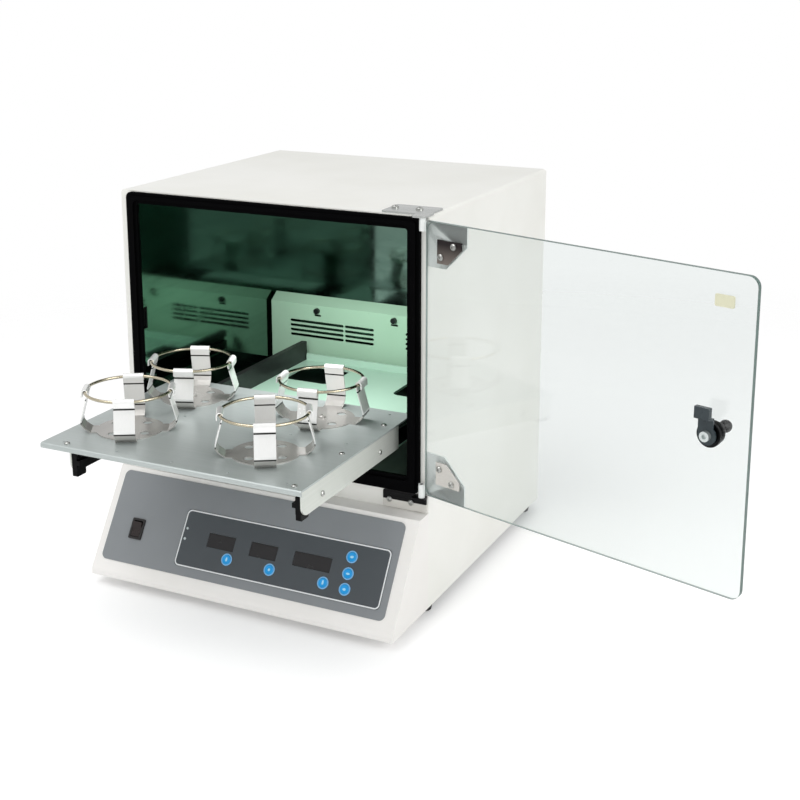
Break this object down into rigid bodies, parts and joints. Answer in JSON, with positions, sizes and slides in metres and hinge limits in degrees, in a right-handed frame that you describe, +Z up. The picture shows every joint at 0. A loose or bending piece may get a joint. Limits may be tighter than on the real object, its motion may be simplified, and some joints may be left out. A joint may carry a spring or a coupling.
{
  "type": "incubated benchtop shaker",
  "caption": "Benchtop incubator shaker: insulated cabinet with a hinged glass door, a sloping console and a sliding orbital platform that carries spring clamps for conical vessels.",
  "frame": {"origin": "middle of the footprint, on the surface that the feet stand on, with the door open and the platform out", "axes": "+X to the right seen from the front, +Y from the front to the back, +Z up"},
  "size_m": [0.7508, 0.558, 0.4566],
  "materials": {
    "cabinet_shell": "satin powder coat",
    "back_panel": "satin powder coat",
    "base_pan": "zinc plated",
    "feet": "matt",
    "insulation": "fibre blanket",
    "chamber_liner": "mirror polished",
    "door_gasket": "matt",
    "plenum_cover": "satin paint",
    "plenum_knobs": "matt",
    "fan_housing": "zinc plated",
    "fan_wheel": "brushed",
    "fan_motor": "painted",
    "heater": "oxidised",
    "temp_probe": "satin",
    "hinge_plates": "satin",
    "cabinet_screws": "bright",
    "console_housing": "satin powder coat",
    "fascia": "satin",
    "key_panel": "satin",
    "button_rings": "gloss",
    "button_1": "gloss",
    "button_2": "gloss",
    "button_3": "gloss",
    "button_4": "gloss",
    "button_5": "gloss",
    "button_6": "gloss",
    "displays": "gloss",
    "indicator_lamps": "gloss",
    "switch_bezel": "matt",
    "power_rocker": "matt",
    "control_board": "matt",
    "power_supply": "zinc plated",
    "power_inlet": "matt",
    "drive_motor": "painted",
    "motor_pulley": "brushed",
    "drive_belt": "matt",
    "bearing_post": "painted",
    "crank_spindle": "bright",
    "crank_pulley": "brushed",
    "counterweight": "painted",
    "shaft_seal": "matt",
    "carriage": "satin",
    "carriage_rails": "matt",
    "platform_plate": "brushed",
    "platform_flanges": "satin",
    "slide_bars": "matt",
    "platform_screws": "bright",
    "clamp_1": "bright spring steel",
    "clamp_2": "bright spring steel",
    "clamp_3": "bright spring steel",
    "clamp_4": "bright spring steel",
    "clamp_rings": "bright",
    "door_glass": "clear",
    "door_brackets": "satin",
    "bracket_pads": "satin",
    "bracket_screws": "bright",
    "door_pad": "matt",
    "latch_barrel": "matt",
    "latch_handle": "matt",
    "latch_cam": "matt"
  },
  "bodies": {
    "cabinet": {"cabinet_shell": "cabinet_shell", "back_panel": "back_panel", "base_pan": "base_pan", "feet": "feet", "insulation": "insulation", "chamber_liner": "chamber_liner", "door_gasket": "door_gasket", "plenum_cover": "plenum_cover", "plenum_knobs": "plenum_knobs", "fan_housing": "fan_housing", "fan_motor": "fan_motor", "heater": "heater", "temp_probe": "temp_probe", "hinge_plates": "hinge_plates", "cabinet_screws": "cabinet_screws", "console_housing": "console_housing", "fascia": "fascia", "key_panel": "key_panel", "button_rings": "button_rings", "displays": "displays", "indicator_lamps": "indicator_lamps", "switch_bezel": "switch_bezel", "control_board": "control_board", "power_supply": "power_supply", "power_inlet": "power_inlet", "drive_motor": "drive_motor", "drive_belt": "drive_belt", "bearing_post": "bearing_post", "shaft_seal": "shaft_seal"},
    "door": {"door_glass": "door_glass", "door_brackets": "door_brackets", "bracket_pads": "bracket_pads", "bracket_screws": "bracket_screws", "door_pad": "door_pad", "latch_barrel": "latch_barrel"},
    "latch": {"latch_handle": "latch_handle", "latch_cam": "latch_cam"},
    "crank": {"crank_spindle": "crank_spindle", "crank_pulley": "crank_pulley", "counterweight": "counterweight"},
    "carriage": {"carriage": "carriage", "carriage_rails": "carriage_rails"},
    "platform": {"platform_plate": "platform_plate", "platform_flanges": "platform_flanges", "slide_bars": "slide_bars", "platform_screws": "platform_screws", "clamp_1": "clamp_1", "clamp_2": "clamp_2", "clamp_3": "clamp_3", "clamp_4": "clamp_4", "clamp_rings": "clamp_rings"},
    "motor_rotor": {"motor_pulley": "motor_pulley"},
    "fan": {"fan_wheel": "fan_wheel"},
    "rocker": {"power_rocker": "power_rocker"},
    "key_1": {"button_1": "button_1"},
    "key_2": {"button_2": "button_2"},
    "key_3": {"button_3": "button_3"},
    "key_4": {"button_4": "button_4"},
    "key_5": {"button_5": "button_5"},
    "key_6": {"button_6": "button_6"}
  },
  "joints": [
    {"name": "door_swing", "type": "hinge", "parent": "cabinet", "child": "door", "pos_m": [0.00961, -0.08, 0.3], "axis": [0, 0, -1], "range_deg": [0, 163.5]},
    {"name": "latch_turn", "type": "hinge", "parent": "door", "child": "latch", "pos_m": [0.33753, -0.17713, 0.3], "axis": [0.284, 0.9588, 0], "range_deg": [0, 90]},
    {"name": "crank_spin", "type": "hinge", "parent": "cabinet", "child": "crank", "pos_m": [-0.18189, 0.068, 0.1], "axis": [0, 0, 1], "continuous": true},
    {"name": "carriage_turn", "type": "hinge", "parent": "crank", "child": "carriage", "pos_m": [-0.18189, 0.076, 0.184], "axis": [0, 0, 1], "continuous": true},
    {"name": "platform_slide", "type": "slide", "parent": "carriage", "child": "platform", "axis": [0, 1, 0], "range_m": [0, 0.23]},
    {"name": "motor_spin", "type": "hinge", "parent": "cabinet", "child": "motor_rotor", "pos_m": [-0.29389, 0.068, 0.126], "axis": [0, 0, 1], "continuous": true},
    {"name": "fan_spin", "type": "hinge", "parent": "cabinet", "child": "fan", "pos_m": [-0.18039, 0.2292, 0.222], "axis": [0, 1, 0], "continuous": true},
    {"name": "power_rock", "type": "hinge", "parent": "cabinet", "child": "rocker", "pos_m": [-0.32889, -0.13292, 0.06457], "axis": [-1, 0, 0], "range_deg": [0, 16]},
    {"name": "key_1_press", "type": "slide", "parent": "cabinet", "child": "key_1", "axis": [0, 0.843, -0.5379], "range_m": [0, 0.001], "stiffness_N_per_m": 600},
    {"name": "key_2_press", "type": "slide", "parent": "cabinet", "child": "key_2", "axis": [0, 0.843, -0.5379], "range_m": [0, 0.001], "stiffness_N_per_m": 600},
    {"name": "key_3_press", "type": "slide", "parent": "cabinet", "child": "key_3", "axis": [0, 0.843, -0.5379], "range_m": [0, 0.001], "stiffness_N_per_m": 600},
    {"name": "key_4_press", "type": "slide", "parent": "cabinet", "child": "key_4", "axis": [0, 0.843, -0.5379], "range_m": [0, 0.001], "stiffness_N_per_m": 600},
    {"name": "key_5_press", "type": "slide", "parent": "cabinet", "child": "key_5", "axis": [0, 0.843, -0.5379], "range_m": [0, 0.001], "stiffness_N_per_m": 600},
    {"name": "key_6_press", "type": "slide", "parent": "cabinet", "child": "key_6", "axis": [0, 0.843, -0.5379], "range_m": [0, 0.001], "stiffness_N_per_m": 600}
  ],
  "couplings": [
    {"joint": "carriage_turn", "follows": "crank_spin", "ratio": -1},
    {"joint": "motor_spin", "follows": "crank_spin", "ratio": 3.4286},
    {"joint": "platform_slide", "follows": "door_swing", "m_per_rad": 0.080599}
  ]
}
